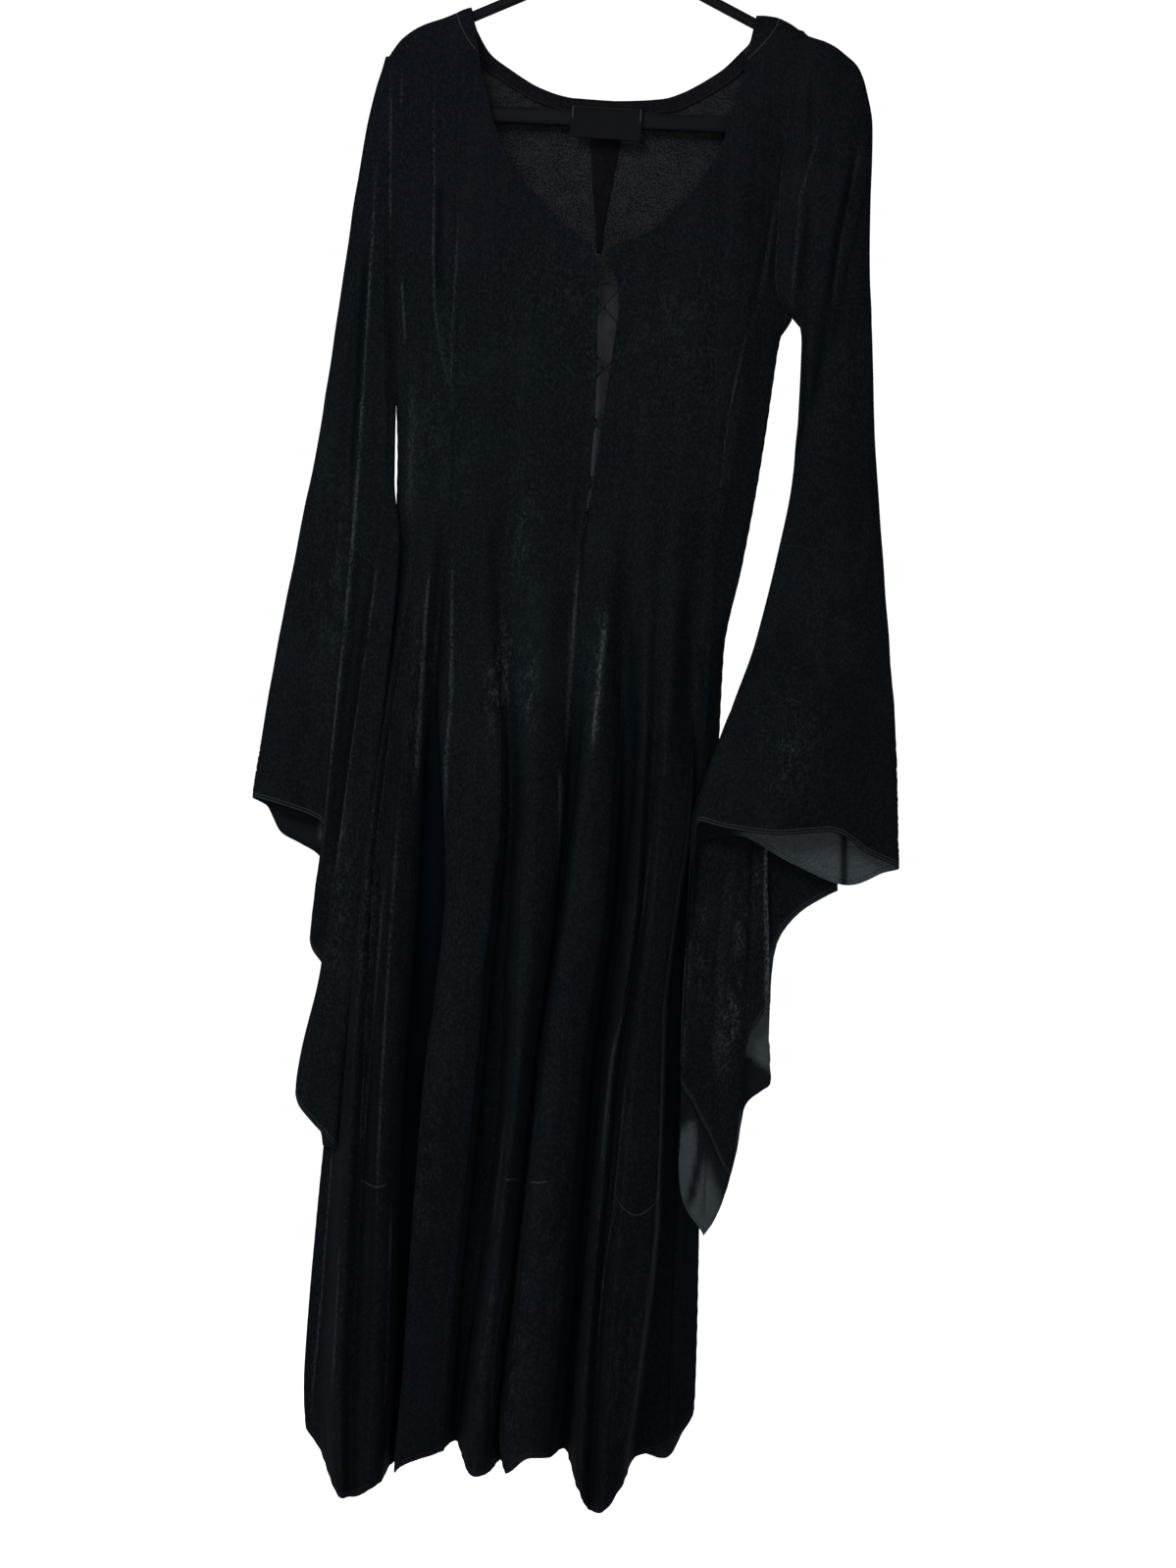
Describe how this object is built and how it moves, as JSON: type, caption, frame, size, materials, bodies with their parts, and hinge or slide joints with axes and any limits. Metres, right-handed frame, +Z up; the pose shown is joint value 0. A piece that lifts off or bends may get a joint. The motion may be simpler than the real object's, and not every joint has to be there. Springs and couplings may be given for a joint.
{
  "type": "long velvet dress on a clothes hanger",
  "caption": "Floor-length velvet dress with pleated skirt, laced front slit and long pointed bell sleeves, hung on a clothes hanger with a trouser bar",
  "frame": {"origin": "inside of the top of the hanger's hook, where it rests on a rail; the hook's wire arches over it", "axes": "+Z up along the hanging dress, +X to the right of the picture (the wearer's left), -Y the front of the dress"},
  "size_m": [0.6234, 0.1785, 1.566],
  "materials": {
    "velvet": "black stretch velvet, short nap",
    "backing": "knitted wrong side of the velvet, black with a grey cast",
    "satin": "black woven satin label, bare",
    "cord": "black twisted cord and tape",
    "plastic": "black moulded plastic, slight sheen",
    "steel": "bright plated wire"
  },
  "bodies": {
    "root": {"front_side_left": "velvet", "front_centre_left": "velvet", "front_centre_right": "velvet", "front_side_right": "velvet", "back_right": "backing", "back_left": "backing", "sleeve_right": "velvet", "sleeve_left": "velvet", "neck_band": "velvet", "back_seam_strip": "backing", "neck_label": "satin", "front_lace": "cord", "lace_tape_left": "velvet", "lace_tape_right": "velvet", "hanger": "plastic", "hanger_hook": "steel"}
  },
  "joints": []
}
